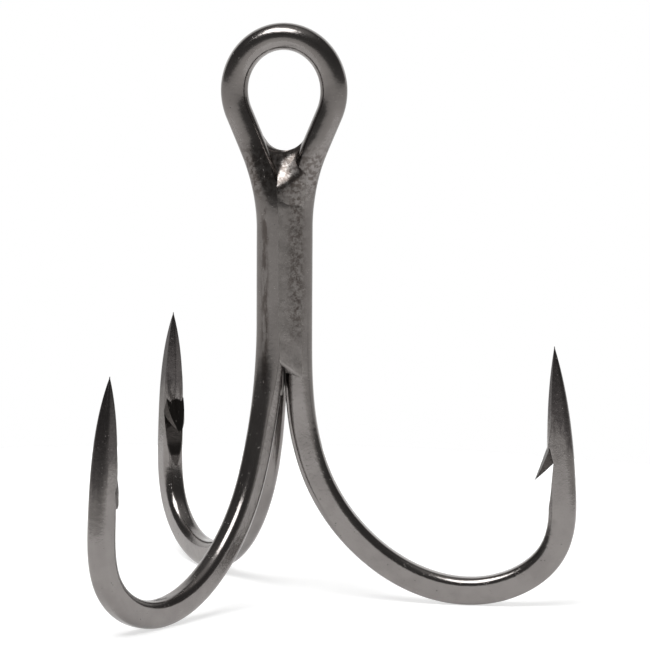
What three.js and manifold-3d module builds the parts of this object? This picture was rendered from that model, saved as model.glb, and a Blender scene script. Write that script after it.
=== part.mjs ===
// Treble hook: a double hook bent from one wire, with its eye at the top, and a single hook
// brazed behind it. Millimetres. +Z runs up the shank, X runs across the eye and Y goes through
// the eye's hole. The origin is the centre of the eye's round top. Everything is drawn with the
// shanks of the double hook side by side across X, and the whole hook is turned at the end.

import * as THREE from 'three';
import { ConvexGeometry } from 'three/addons/geometries/ConvexGeometry.js';
import { mergeVertices } from 'three/addons/utils/BufferGeometryUtils.js';
import Module from 'manifold-3d';

// ---- Driving dimensions, in millimetres and degrees ----

// The wire and the bundle of three shanks.
const wireDiameter = 2.12;
const shankSpacing = 2.24;
const eyeWireDiameter = 2.02;
const flareStart = -18.0;

// The eye, a teardrop: a round top, straight legs and a gentle curve into the shank.
const eyeRadius = 4.07;
const eyeLegSlope = 24.6;
const throatRadius = 14;

// The throat's twist, which brings the eye in line with the right hook and draws it in a little.
const eyeTurn = 30;
const eyeTurnTop = -3.6;
const eyeTurnBottom = -9.4;
const eyeNarrowing = 0.085;
const eyeOffset = -0.07;

// The hook's bend, from the shank to the point, as stretches whose curvature changes evenly.
const flareSpiral = 11.3;
const flareRadius = 14.7;
const flareArc = 7.7;
const bendSpiral = 11.8;
const bendRadius = 7.6;
const heelSpiral = 3.2;
const heelRadius = 4.55;
const heelRunOut = 5.0;
const pointLeg = 10.3;

// The forged section of the bend: its height in the hook's plane, and its flats.
const forgedHeight = 2.08;
const forgedThickness = 1.6;
const forgedCorner = 0.6;
const forgingStart = 1.5;
const forgingLength = 6.7;

// The ground point.
const pointTaper = 11.4;
const pointFullness = 3.5;
const tipRadius = 0.06;

// The barb, along the point's leg from the end of the bend, and in from the leg's centre line.
const barbRootAlong = 3.2;
const barbRootOut = 1.0;
const barbTipAlong = 0.55;
const barbTipOut = 2.03;
const barbCrotchAlong = 2.05;
const barbCrotchOut = 0.5;
const barbCutMiddleAlong = -0.6;
const barbCutMiddleOut = 0.86;
const barbCutEndAlong = -2.6;
const barbCutEndOut = 1.24;
const barbCutClearance = 1.6;
const barbCutMargin = 0.3;
const barbTipThickness = 0.14;
const barbRootWidth = 1.1;
const barbCrotchWidth = 1.42;
const barbTipWidth = 0.12;

// Each hook: the way it points seen from above, how much higher and further out its bend sits
// than the drawn one, and how much longer its point is.
const rightHook = { azimuth: -30, raised: 0, reach: 0, longer: 0.35 };
const leftHook = { azimuth: 210, raised: 0.5, reach: 0.85, longer: 0.1 };
const backHook = { azimuth: 90, raised: 0, reach: 0, longer: -0.6 };
const singleShankTop = -6.9;
const singleShankChamfer = 0.5;

// The braze.
const brazeGap = 0.03;
const runGap = 0.05;
const frontFilletRadius = 3.0;
const rearFilletRadius = 1.7;
const filletRootWidth = 0.35;
const coreRadius = 0.42;
const saddleBottom = -8.2;
const saddleNotchRadius = 1.9;
const saddleNotchBottom = -4.54;
const saddleNotchEdge = 50;
const saddleTop = -3.0;
const saddleFront = -0.93;
const saddleFrontShoulder = -6.2;
const saddleRidgeFront = -0.2;
const saddleRidgeRear = 0.4;
const saddleRear = 2.75;
const saddleRearShoulder = -7.0;
const runLowest = -26;
const frontRunLeftEnd = -20.5;
const frontRunRightEnd = -21.9;
const frontRunLeftSide = -0.66;
const frontRunRightSide = 0.2;
const rearRunEnd = -22.6;
const coreEnd = -23.0;

// The size of the blocks that the braze's outlines are cut from, larger than the braze itself.
const cutterSize = 8;

// How finely the curves are cut, and how closely corners are taken as one.
const cornerSteps = 4;
const stationStep = 0.95;
const pointStations = 12;
const pointCrowding = 1.5;
const eyeStations = 30;
const legStations = 4;
const shankSteps = 4;
const curveStep = 0.01;
const mergeDistance = 1e-5;
const sectionCornerShare = 0.97;

// ---- Worked-out values ----

const degree = Math.PI / 180;
const shankHalf = shankSpacing / 2;
const bundleCentre = shankSpacing / (2 * Math.sqrt(3));
const bundleRadius = shankSpacing / Math.sqrt(3);
const up = new THREE.Vector3(0, 0, 1);

const wasm = await Module();
wasm.setup();

// ---- Solids: joining and cutting ----

function toSolid(geometry) {
  const bare = geometry.clone();
  bare.deleteAttribute('normal');
  bare.deleteAttribute('uv');
  const merged = mergeVertices(bare, mergeDistance);
  return new wasm.Manifold(new wasm.Mesh({
    numProp: 3,
    vertProperties: new Float32Array(merged.attributes.position.array),
    triVerts: new Uint32Array(merged.index.array),
  }));
}

function toGeometry(solid) {
  const mesh = solid.getMesh();
  const geometry = new THREE.BufferGeometry();
  geometry.setAttribute('position', new THREE.BufferAttribute(new Float32Array(mesh.vertProperties), 3));
  geometry.setIndex(new THREE.BufferAttribute(new Uint32Array(mesh.triVerts), 1));
  geometry.computeVertexNormals();
  return geometry;
}

// ---- Wire: a section swept along stations ----

function smoothStep(value) {
  const t = THREE.MathUtils.clamp(value, 0, 1);
  return t * t * (3 - 2 * t);
}

// A rounded rectangle, as points round the wire: a along the hook's plane, b across it.
function sectionPoints(halfHeight, halfThickness, corner) {
  const radius = sectionCornerShare * Math.min(corner, halfHeight, halfThickness);
  const points = [];
  for (let quarter = 0; quarter < 4; quarter++) {
    const signA = quarter === 0 || quarter === 3 ? 1 : -1;
    const signB = quarter < 2 ? 1 : -1;
    for (let step = 0; step <= cornerSteps; step++) {
      const angle = (quarter + step / cornerSteps) * 90 * degree;
      points.push([
        signA * (halfHeight - radius) + radius * Math.cos(angle),
        signB * (halfThickness - radius) + radius * Math.sin(angle),
      ]);
    }
  }
  return points;
}

// Joins the sections at the stations into one closed skin. Each station has a centre, the
// outward direction in the wire's plane, the direction across it, and its section's sizes.
function sweepWire(stations, grow) {
  const positions = [];
  const index = [];
  const around = 4 * (cornerSteps + 1);
  for (const station of stations) {
    const points = sectionPoints(
      station.halfHeight + grow, station.halfThickness + grow, station.corner + grow);
    for (const [a, b] of points) {
      const vertex = station.centre.clone();
      vertex.addScaledVector(station.outward, a);
      vertex.addScaledVector(station.across, b);
      positions.push(vertex.x, vertex.y, vertex.z);
    }
  }
  for (let ring = 0; ring < stations.length - 1; ring++) {
    for (let side = 0; side < around; side++) {
      const here = ring * around + side;
      const next = ring * around + (side + 1) % around;
      index.push(here, next, here + around);
      index.push(next, next + around, here + around);
    }
  }
  const firstCentre = positions.length / 3;
  const lastRing = (stations.length - 1) * around;
  const first = stations[0].centre;
  const last = stations[stations.length - 1].centre;
  positions.push(first.x, first.y, first.z, last.x, last.y, last.z);
  for (let side = 0; side < around; side++) {
    const next = (side + 1) % around;
    index.push(firstCentre, next, side);
    index.push(firstCentre + 1, lastRing + side, lastRing + next);
  }
  const geometry = new THREE.BufferGeometry();
  geometry.setAttribute('position', new THREE.Float32BufferAttribute(positions, 3));
  geometry.setIndex(index);
  return geometry;
}

function roundStation(centre, outward, across, diameter) {
  const radius = diameter / 2;
  return { centre, outward, across, halfHeight: radius, halfThickness: radius, corner: radius };
}

// ---- The hook's curve ----

const bendKnots = [
  { length: 0, curvature: 0 },
  { length: flareSpiral, curvature: 1 / flareRadius },
  { length: flareArc, curvature: 1 / flareRadius },
  { length: bendSpiral, curvature: 1 / bendRadius },
  { length: heelSpiral, curvature: 1 / heelRadius },
  { length: heelRunOut, curvature: 0 },
];
const bendLength = bendKnots.reduce((sum, knot) => sum + knot.length, 0);

function curvatureAt(distance) {
  let start = 0;
  for (let i = 1; i < bendKnots.length; i++) {
    const { length, curvature } = bendKnots[i];
    if (distance <= start + length) {
      return THREE.MathUtils.lerp(bendKnots[i - 1].curvature, curvature, (distance - start) / length);
    }
    start += length;
  }
  return 0;
}

// The drawn hook as points along its centre line: how far out, how far up from the start of
// the flare, and its heading, which starts straight down.
function hookLine(distances) {
  const line = [];
  let travelled = 0;
  let out = 0;
  let rise = 0;
  let heading = -90 * degree;
  for (const distance of distances) {
    while (travelled < distance) {
      const step = Math.min(curveStep, distance - travelled);
      const middle = heading + 0.5 * step * curvatureAt(travelled + step / 2);
      out += step * Math.cos(middle);
      rise += step * Math.sin(middle);
      heading += step * curvatureAt(travelled + step / 2);
      travelled += step;
    }
    line.push({ distance, out, rise, heading });
  }
  return line;
}

function hookDistances(hook) {
  const total = bendLength + pointLeg + hook.longer;
  const taperStart = total - pointTaper;
  const coarse = Math.round(taperStart / stationStep);
  const distances = [];
  for (let i = 1; i <= coarse; i++) {
    distances.push(taperStart * i / coarse);
  }
  for (let i = pointStations - 1; i >= 0; i--) {
    distances.push(total - pointTaper * (i / pointStations) ** pointCrowding);
  }
  return distances;
}

function hookFrame(hook) {
  const azimuth = hook.azimuth * degree;
  const out = new THREE.Vector3(Math.cos(azimuth), Math.sin(azimuth), 0);
  return {
    out,
    across: new THREE.Vector3().crossVectors(out, up),
    axis: new THREE.Vector3(0, bundleCentre, flareStart + hook.raised),
  };
}

function placeOnHook(hook, frame, point) {
  const reach = bundleRadius + point.out + hook.reach * smoothStep(point.distance / flareSpiral);
  return frame.axis.clone().addScaledVector(frame.out, reach).addScaledVector(up, point.rise);
}

// The stations from the start of the flare to the tip of the point.
function hookStations(hook) {
  const frame = hookFrame(hook);
  const total = bendLength + pointLeg + hook.longer;
  return hookLine(hookDistances(hook)).map((point) => {
    const forged = smoothStep((point.distance - forgingStart) / forgingLength);
    const fromTip = Math.min((total - point.distance) / pointTaper, 1);
    const full = 1 - (1 - fromTip) ** pointFullness;
    const radius = wireDiameter / 2;
    const scaled = (forgedSize) => {
      return Math.max(full * THREE.MathUtils.lerp(radius, forgedSize, forged), tipRadius);
    };
    return {
      centre: placeOnHook(hook, frame, point),
      outward: new THREE.Vector3()
        .addScaledVector(frame.out, -Math.sin(point.heading))
        .addScaledVector(up, Math.cos(point.heading)),
      across: frame.across,
      halfHeight: scaled(forgedHeight / 2),
      halfThickness: scaled(forgedThickness / 2),
      corner: scaled(forgedCorner),
    };
  });
}

// ---- The barb ----

// A frame on the point's leg: its origin is where the bend ends, x runs to the tip, y runs in
// towards the shank and z goes across the hook.
function legMatrix(hook) {
  const frame = hookFrame(hook);
  const [start] = hookLine([bendLength]);
  const along = new THREE.Vector3()
    .addScaledVector(frame.out, Math.cos(start.heading))
    .addScaledVector(up, Math.sin(start.heading));
  const inward = new THREE.Vector3()
    .addScaledVector(frame.out, -Math.sin(start.heading))
    .addScaledVector(up, Math.cos(start.heading));
  const across = new THREE.Vector3().crossVectors(along, inward);
  const matrix = new THREE.Matrix4().makeBasis(along, inward, across);
  return matrix.setPosition(placeOnHook(hook, frame, start));
}

// The chisel's cut under the barb: a wedge that is deepest at the barb and runs out down the bend.
function barbCut(hook) {
  const shape = new THREE.Shape();
  shape.moveTo(barbCrotchAlong, barbCrotchOut);
  shape.lineTo(barbTipAlong - barbCutMargin, barbTipOut + barbCutMargin);
  shape.lineTo(barbCutEndAlong, barbTipOut + barbCutMargin);
  shape.lineTo(barbCutEndAlong, barbCutEndOut);
  shape.lineTo(barbCutMiddleAlong, barbCutMiddleOut);
  shape.closePath();
  const depth = 2 * barbCutClearance;
  const cut = new THREE.ExtrudeGeometry(shape, { depth, bevelEnabled: false });
  cut.translate(0, 0, -barbCutClearance);
  cut.applyMatrix4(legMatrix(hook));
  return toSolid(cut);
}

// The barb: full width where it leaves the leg, drawn to a point at its tip.
function barbSpike(hook) {
  const corners = [
    [barbRootAlong, barbRootOut, barbRootWidth],
    [barbRootAlong, barbCrotchOut, barbCrotchWidth],
    [barbCrotchAlong, barbCrotchOut, barbCrotchWidth],
    [barbTipAlong, barbTipOut, barbTipWidth],
    [barbTipAlong + barbTipThickness, barbTipOut - barbTipThickness, barbTipWidth],
  ];
  const points = [];
  for (const [along, out, width] of corners) {
    points.push(new THREE.Vector3(along, out, width / 2));
    points.push(new THREE.Vector3(along, out, -width / 2));
  }
  const spike = new ConvexGeometry(points);
  spike.applyMatrix4(legMatrix(hook));
  return toSolid(spike);
}

function cutBarbs(wire, hooks) {
  let solid = wire;
  for (const hook of hooks) {
    solid = solid.subtract(barbCut(hook)).add(barbSpike(hook));
  }
  return solid;
}

// ---- The eye and the shanks ----

// The right half of the eye, from the middle of its top down to the shank.
function eyeHalf() {
  const slope = eyeLegSlope * degree;
  const roundEnd = 90 * degree + slope;
  const turnWidth = throatRadius * (1 - Math.cos(slope));
  const legTopX = eyeRadius * Math.cos(slope);
  const legTopZ = -eyeRadius * Math.sin(slope);
  const legLength = (legTopX - shankHalf - turnWidth) / Math.sin(slope);
  const points = [];
  const perHalf = eyeStations / 2;
  for (let i = 0; i <= perHalf; i++) {
    const turn = roundEnd * i / perHalf;
    points.push({ x: eyeRadius * Math.sin(turn), z: eyeRadius * Math.cos(turn), turn });
  }
  const legEndX = legTopX - legLength * Math.sin(slope);
  const legEndZ = legTopZ - legLength * Math.cos(slope);
  for (let i = 0; i <= legStations; i++) {
    const turn = roundEnd - slope * i / legStations;
    const left = slope - slope * i / legStations;
    points.push({
      x: legEndX - turnWidth + throatRadius * (1 - Math.cos(left)),
      z: legEndZ - throatRadius * (Math.sin(slope) - Math.sin(left)),
      turn,
    });
  }
  return points;
}

// How far the throat has twisted at a height, and how much narrower and further left it is there.
function throatTwist(height) {
  const share = smoothStep((height - eyeTurnBottom) / (eyeTurnTop - eyeTurnBottom));
  return {
    turn: -eyeTurn * degree * share,
    narrow: 1 - eyeNarrowing * (1 - (1 - share) ** 3),
    offset: eyeOffset * share,
  };
}

function twistPoint(point) {
  const { turn, narrow, offset } = throatTwist(point.z);
  const flat = new THREE.Vector3(point.x * narrow + offset, point.y, point.z);
  return flat.applyAxisAngle(up, turn);
}

function eyeStation(point, side) {
  const { turn, narrow } = throatTwist(point.z);
  const outward = new THREE.Vector3(side * Math.sin(point.turn), 0, narrow * Math.cos(point.turn));
  outward.normalize().applyAxisAngle(up, turn);
  const across = new THREE.Vector3(0, -1, 0).applyAxisAngle(up, turn);
  const thinning = smoothStep((point.z - saddleBottom) / (-eyeRadius - saddleBottom));
  const diameter = THREE.MathUtils.lerp(wireDiameter, eyeWireDiameter, thinning);
  const centre = twistPoint(new THREE.Vector3(side * point.x, 0, point.z));
  return roundStation(centre, outward, across, diameter);
}

// The straight shank, turning its section from the eye's plane to the hook's.
function shankStations(hook, side, top) {
  const bottom = flareStart + hook.raised;
  const stations = [];
  for (let i = 1; i <= shankSteps; i++) {
    const share = i / shankSteps;
    const azimuth = side > 0 ? hook.azimuth * share : 180 + (hook.azimuth - 180) * share;
    const outward = new THREE.Vector3(Math.cos(azimuth * degree), Math.sin(azimuth * degree), 0);
    const across = new THREE.Vector3().crossVectors(outward, up).multiplyScalar(side);
    const centre = new THREE.Vector3(side * shankHalf, 0, THREE.MathUtils.lerp(top, bottom, share));
    stations.push(roundStation(centre, outward, across, wireDiameter));
  }
  return stations;
}

function doubleWireStations() {
  const half = eyeHalf();
  const throat = half[half.length - 1].z;
  const right = [
    ...half.map((point) => eyeStation(point, 1)),
    ...shankStations(rightHook, 1, throat),
    ...hookStations(rightHook),
  ];
  const left = [
    ...half.slice(1).map((point) => eyeStation(point, -1)),
    ...shankStations(leftHook, -1, throat),
    ...hookStations(leftHook).map((station) => {
      return { ...station, across: station.across.clone().negate() };
    }),
  ];
  return [...left.reverse(), ...right];
}

function singleWireStations() {
  const frame = hookFrame(backHook);
  const axis = frame.axis.clone().addScaledVector(frame.out, bundleRadius);
  const stations = [];
  const addStation = (height, diameter) => {
    const centre = new THREE.Vector3(axis.x, axis.y, height);
    stations.push(roundStation(centre, frame.out, frame.across, diameter));
  };
  const shoulder = singleShankTop - singleShankChamfer;
  addStation(singleShankTop, wireDiameter - 2 * singleShankChamfer);
  for (let i = 0; i <= shankSteps; i++) {
    addStation(THREE.MathUtils.lerp(shoulder, flareStart, i / shankSteps), wireDiameter);
  }
  return [...stations, ...hookStations(backHook)];
}

function buildDoubleWire(grow) {
  const wire = toSolid(sweepWire(doubleWireStations(), grow));
  return grow > 0 ? wire : cutBarbs(wire, [rightHook, leftHook]);
}

function buildSingleWire(grow) {
  const wire = toSolid(sweepWire(singleWireStations(), grow));
  return grow > 0 ? wire : cutBarbs(wire, [backHook]);
}

// ---- The braze ----

// The valley between two shanks, seen along them: a fillet that touches both wires. The pair
// lies on y = 0 and the valley opens towards -y.
function filletShape(filletRadius) {
  const wireRadius = wireDiameter / 2;
  const reach = wireRadius + filletRadius;
  const arcCentreY = -Math.sqrt(reach ** 2 - shankHalf ** 2);
  const touch = Math.atan2(-arcCentreY, shankHalf);
  const shape = new THREE.Shape();
  shape.moveTo(-shankHalf, -filletRootWidth);
  shape.lineTo(-shankHalf + wireRadius * Math.cos(touch), -wireRadius * Math.sin(touch));
  shape.absarc(0, arcCentreY, filletRadius, 180 * degree - touch, touch, true);
  shape.lineTo(shankHalf, -filletRootWidth);
  shape.closePath();
  return shape;
}

function filletRun(filletRadius, turn, top, bottom) {
  const run = new THREE.ExtrudeGeometry(filletShape(filletRadius), {
    depth: top - bottom, bevelEnabled: false, curveSegments: 8,
  });
  run.translate(0, -bundleCentre, bottom);
  run.rotateZ(turn * degree);
  run.translate(0, bundleCentre, 0);
  return toSolid(run);
}

// What lies below the slanting lower end of the front run.
function frontRunEnd() {
  const slope = (frontRunRightEnd - frontRunLeftEnd) / (frontRunRightSide - frontRunLeftSide);
  const edge = (x) => frontRunLeftEnd + slope * (x - frontRunLeftSide);
  const shape = new THREE.Shape();
  shape.moveTo(-shankSpacing, edge(-shankSpacing));
  shape.lineTo(shankSpacing, edge(shankSpacing));
  shape.lineTo(shankSpacing, runLowest - cutterSize);
  shape.lineTo(-shankSpacing, runLowest - cutterSize);
  shape.closePath();
  const below = new THREE.ExtrudeGeometry(shape, { depth: cutterSize, bevelEnabled: false });
  below.rotateX(90 * degree);
  below.translate(0, cutterSize / 2, 0);
  return toSolid(below);
}

function coreRun() {
  const shape = new THREE.Shape();
  for (let corner = 0; corner < 3; corner++) {
    const angle = (-90 + 120 * corner) * degree;
    const x = coreRadius * Math.cos(angle);
    const y = bundleCentre + coreRadius * Math.sin(angle);
    if (corner === 0) {
      shape.moveTo(x, y);
    } else {
      shape.lineTo(x, y);
    }
  }
  shape.closePath();
  const top = saddleBottom - runGap;
  const run = new THREE.ExtrudeGeometry(shape, { depth: top - coreEnd, bevelEnabled: false });
  run.translate(0, 0, coreEnd);
  return toSolid(run);
}

// The saddle that fills the throat of the eye and covers the top of the single shank.
function throatSaddle() {
  const notchCentre = saddleNotchBottom + saddleNotchRadius;
  const notchEdge = saddleNotchEdge * degree;
  const notchEdgeX = saddleNotchRadius * Math.sin(notchEdge);
  const notchEdgeZ = notchCentre - saddleNotchRadius * Math.cos(notchEdge);
  const slope = eyeLegSlope * degree;
  const legX = (eyeRadius + notchEdgeZ * Math.sin(slope)) / Math.cos(slope);
  const front = new THREE.Shape();
  front.moveTo(-shankHalf, saddleBottom);
  front.lineTo(shankHalf, saddleBottom);
  front.lineTo(legX, notchEdgeZ);
  front.lineTo(notchEdgeX, notchEdgeZ);
  front.absarc(0, notchCentre, saddleNotchRadius, -90 * degree + notchEdge, -90 * degree - notchEdge, true);
  front.lineTo(-legX, notchEdgeZ);
  front.closePath();
  const across = new THREE.ExtrudeGeometry(front, {
    depth: cutterSize, bevelEnabled: false, curveSegments: 10,
  });
  across.rotateX(90 * degree);
  across.translate(0, cutterSize / 2, 0);

  const side = new THREE.Shape();
  side.moveTo(saddleFront, saddleBottom);
  side.quadraticCurveTo(saddleFront, saddleFrontShoulder, saddleRidgeFront, saddleTop);
  side.lineTo(saddleRidgeRear, saddleTop);
  side.quadraticCurveTo(saddleRidgeRear, saddleFrontShoulder, saddleRear, saddleRearShoulder);
  side.lineTo(saddleRear, saddleBottom);
  side.closePath();
  const profile = new THREE.ExtrudeGeometry(side, {
    depth: cutterSize, bevelEnabled: false, curveSegments: 10,
  });
  profile.rotateY(90 * degree);
  profile.rotateX(90 * degree);
  profile.translate(-cutterSize / 2, 0, 0);
  const flat = toSolid(across).intersect(toSolid(profile));
  return flat.warp((corner) => {
    const turned = twistPoint(new THREE.Vector3(corner[0], corner[1], corner[2]));
    corner[0] = turned.x;
    corner[1] = turned.y;
  });
}

// ---- Assembly ----

const blackNickel = { color: 0x6a6562, roughness: 0.22, metalness: 1 };
const platedBraze = { color: 0x625d59, roughness: 0.42, metalness: 1 };

const hook = new THREE.Group();

function addPart(name, solid, finish) {
  const turned = solid.rotate([0, 0, eyeTurn]);
  const mesh = new THREE.Mesh(toGeometry(turned), new THREE.MeshStandardMaterial(finish));
  mesh.name = name;
  hook.add(mesh);
}

addPart('double_hook_wire', buildDoubleWire(0), blackNickel);
addPart('single_hook_wire', buildSingleWire(0), blackNickel);

const wireSpace = buildDoubleWire(brazeGap).add(buildSingleWire(brazeGap));
const runTop = saddleBottom - runGap;
const frontRun = filletRun(frontFilletRadius, 0, runTop, runLowest).subtract(frontRunEnd());
const brazeRuns = {
  braze_front_fillet: frontRun,
  braze_right_fillet: filletRun(rearFilletRadius, 120, runTop, rearRunEnd),
  braze_left_fillet: filletRun(rearFilletRadius, 240, runTop, rearRunEnd),
  braze_core: coreRun(),
  braze_throat_saddle: throatSaddle(),
};
for (const [name, run] of Object.entries(brazeRuns)) {
  addPart(name, run.subtract(wireSpace), platedBraze);
}

export default hook;
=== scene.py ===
"""A black nickel treble hook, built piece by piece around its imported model."""

import math

import bmesh
import bpy
import numpy as np
from bpy.props import FloatProperty, FloatVectorProperty, PointerProperty
from mathutils import Matrix, Vector


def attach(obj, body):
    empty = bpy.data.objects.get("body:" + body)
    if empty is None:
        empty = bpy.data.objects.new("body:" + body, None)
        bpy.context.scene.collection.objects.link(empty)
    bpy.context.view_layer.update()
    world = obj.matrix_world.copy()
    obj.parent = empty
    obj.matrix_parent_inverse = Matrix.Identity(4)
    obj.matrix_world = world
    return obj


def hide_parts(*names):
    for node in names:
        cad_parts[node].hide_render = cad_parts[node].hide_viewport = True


bl_info = {
    "name": "Treble Hook",
    "version": (1, 0, 0),
    "blender": (4, 5, 0),
    "location": "3D View > Sidebar > Treble Hook",
    "description": "Builds a brazed treble fishing hook and the studio that it stands in",
    "category": "Object",
}

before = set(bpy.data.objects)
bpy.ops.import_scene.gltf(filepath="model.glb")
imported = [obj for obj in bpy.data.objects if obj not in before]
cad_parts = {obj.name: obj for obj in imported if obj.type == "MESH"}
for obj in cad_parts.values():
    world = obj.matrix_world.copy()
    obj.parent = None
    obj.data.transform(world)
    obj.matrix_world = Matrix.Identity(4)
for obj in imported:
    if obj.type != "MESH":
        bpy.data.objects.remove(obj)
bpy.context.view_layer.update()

MM = 0.001
BODY = "root"
UP = np.array([0.0, 0.0, 1.0])


# ---- Sizes and colours ----


def length(name, description, millimetres):
    return FloatProperty(
        name=name, description=description, default=millimetres * MM, unit="LENGTH", precision=5
    )


def colour(name, description, value):
    return FloatVectorProperty(
        name=name, description=description, default=value, subtype="COLOR", size=3, min=0.0, max=1.0
    )


def turn_size(name, description, degrees):
    value = math.radians(degrees)
    return FloatProperty(name=name, description=description, default=value, subtype="ANGLE")


def share(name, description, value):
    return FloatProperty(name=name, description=description, default=value, min=0.0, max=1.0)


class TrebleWireSizes(bpy.types.PropertyGroup):
    """The wire, the eye and the bundle of shanks"""

    wire_diameter: length("Wire diameter", "Diameter of the hook wire in the shank", 2.12)
    eye_wire_diameter: length("Eye wire diameter", "Diameter of the wire round the eye", 2.02)
    shank_spacing: length("Shank spacing", "Distance between the axes of two shanks", 2.24)
    eye_radius: length("Eye radius", "Radius of the middle of the wire round the eye's top", 4.07)
    eye_leg_slope: turn_size("Eye leg slope", "Angle of the eye's straight legs to the shank", 24.6)
    eye_turn: turn_size("Eye turn", "The throat's twist, from the front shanks to the right hook", 30.0)
    eye_offset: length("Eye offset", "How far the eye sits to the right of the shank's middle", -0.07)
    throat_radius: length("Throat radius", "Radius of the curve from the eye's legs to the shank", 14.0)
    flare_start: length("Flare start", "Height where the shank begins to flare into the bend", -18.0)
    saddle_bottom: length("Saddle bottom", "Height where the braze saddle meets the fillets", -8.2)
    single_shank_top: length("Single shank top", "Height of the back hook's shank end", -6.9)


class TrebleBendSizes(bpy.types.PropertyGroup):
    """The bend from the shank to the point"""

    flare_spiral: length("Flare spiral", "Length over which the flare begins", 11.3)
    flare_radius: length("Flare radius", "Radius of the flare", 14.7)
    flare_arc: length("Flare arc", "Length of the flare at its own radius", 7.7)
    bend_spiral: length("Bend spiral", "Length over which the flare tightens to the bend", 11.8)
    bend_radius: length("Bend radius", "Radius at the bottom of the bend", 7.6)
    heel_spiral: length("Heel spiral", "Length over which the bend tightens to the heel", 3.2)
    heel_radius: length("Heel radius", "Tightest radius, below the point", 4.55)
    heel_run_out: length("Heel run-out", "Length over which the heel straightens", 5.0)
    point_leg: length("Point leg", "Straight length from the heel to the tip", 10.3)
    forged_height: length("Forged height", "Height of the forged section in the hook's plane", 2.08)
    forged_thickness: length("Forged thickness", "Thickness between the forged flats", 1.6)
    forged_corner: length("Forged corner", "Radius of the forged section's corners", 0.6)
    point_taper: length("Point taper", "Length of the ground taper", 11.4)


class TrebleBarbSizes(bpy.types.PropertyGroup):
    """The barb, along the point's leg from the heel and in from the leg's middle"""

    root_along: length("Root along", "Where the barb leaves the leg", 3.35)
    root_out: length("Root out", "Height of the barb's root", 0.86)
    tip_along: length("Tip along", "Where the barb's tip is", 0.55)
    tip_out: length("Tip out", "How far the barb's tip stands out", 2.03)
    crotch_along: length("Crotch along", "Where the chisel cut is deepest", 1.92)
    crotch_out: length("Crotch out", "How deep the cut reaches", 0.5)
    cut_middle_along: length("Cut middle along", "Middle of the cut's floor", -0.6)
    cut_middle_out: length("Cut middle out", "Height of the floor's middle", 0.86)
    cut_end_along: length("Cut end along", "Where the cut runs out", -2.6)
    cut_end_out: length("Cut end out", "Height where the cut runs out", 1.24)


class TrebleFinish(bpy.types.PropertyGroup):
    """Colours and roughness of the finishes and the studio"""

    nickel_light: colour("Nickel, light", "Black nickel where it is cleanest", (0.232, 0.217, 0.209))
    nickel_dark: colour("Nickel, dark", "Black nickel where it is dullest", (0.205, 0.191, 0.184))
    braze_light: colour("Braze, light", "Plated braze where it is cleanest", (0.228, 0.213, 0.204))
    braze_dark: colour("Braze, dark", "Plated braze in its pits", (0.2, 0.187, 0.178))
    # Painted shade: the barb and the chisel cut under it are painted near black.
    cut_painted_shade: colour("Cut, dark", "The barb and the chisel cut under it", (0.05, 0.044, 0.041))
    speck: colour("Speck", "The bright specks in the plating", (0.52, 0.48, 0.45))
    point_dark: colour("Point, dark", "The ground point's dark skin", (0.1, 0.091, 0.09))
    # The same dark colour also paints the shade round the throat's saddle.
    stain_and_throat_shade: colour("Flux stain", "The dark stain that brazing leaves", (0.072, 0.059, 0.052))
    floor_white: colour("Floor", "The studio floor", (0.6, 0.6, 0.6))
    nickel_roughness: share("Nickel roughness", "Roughness of the polished plating", 0.15)
    braze_roughness: share("Braze roughness", "Roughness of the plated braze", 0.3)


class TrebleHookSettings(bpy.types.PropertyGroup):
    """Everything that a user would change"""

    wire: PointerProperty(type=TrebleWireSizes, name="Wire", description="Wire, eye and shank sizes")
    bend: PointerProperty(type=TrebleBendSizes, name="Bend", description="Bend and point sizes")
    barb: PointerProperty(type=TrebleBarbSizes, name="Barb", description="Barb sizes")
    finish: PointerProperty(type=TrebleFinish, name="Finish", description="Colours and roughness")


def hook_shape(azimuth, fullness, raised=0.0, reach=0.0, longer=0.0, lean=0.0, barb_in=0.0):
    """How one hook differs from the drawn pattern, with lengths in millimetres.

    azimuth: the way it points, seen from above; fullness: how full its point is; raised, reach:
    how much higher and further out it sits; longer: its point's extra length; lean: how far its
    tip leans in; barb_in: how much less its barb stands out.
    """
    lengths = {"raised": raised, "reach": reach, "longer": longer, "lean": lean, "barb_in": barb_in}
    in_metres = {name: value * MM for name, value in lengths.items()}
    return {"azimuth": azimuth, "fullness": fullness, **in_metres}


HOOKS = {
    "right": hook_shape(-30.0, 2.6, longer=0.35),
    "left": hook_shape(210.0, 3.4, raised=0.5, reach=0.85, longer=0.1, lean=0.33, barb_in=0.27),
    "back": hook_shape(90.0, 3.5, longer=-0.6),
}

# How bright the surroundings are at each height of the sky, as the sine of its elevation.
TABLE_AND_ROOM = (
    (-1.0, 1.0),
    (-0.55, 1.0),
    (-0.26, 0.8),
    (-0.03, 0.64),
    (0.012, 0.14),
    (0.5, 0.09),
    (0.8, 0.12),
    (1.0, 0.5),
)

# The studio: directions with z up, light as a multiple of white.
SOFTBOX_TOWARDS = (-0.19, -0.41, 0.89)
SOFTBOX_HALF_WIDTH = 0.33
SOFTBOX_HALF_HEIGHT = 0.27
SOFTBOX_SOFT_EDGE = 0.07
SOFTBOX_LIGHT = 7.5
BOARD_TOWARDS = (-0.098, 0.995, 0.0)
BOARD_LIGHT = 1.0
FLOOR_GLOW = 0.62
FLOOR_RADIUS = 0.07

CAMERA_AIM = (2.959, 0.919, -17.79)
CAMERA_AZIMUTH = 5.63
CAMERA_ELEVATION = 9.49
CAMERA_ROLL = 0.21
CAMERA_DISTANCE = 0.4994
CAMERA_LENS = 368.8

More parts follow.
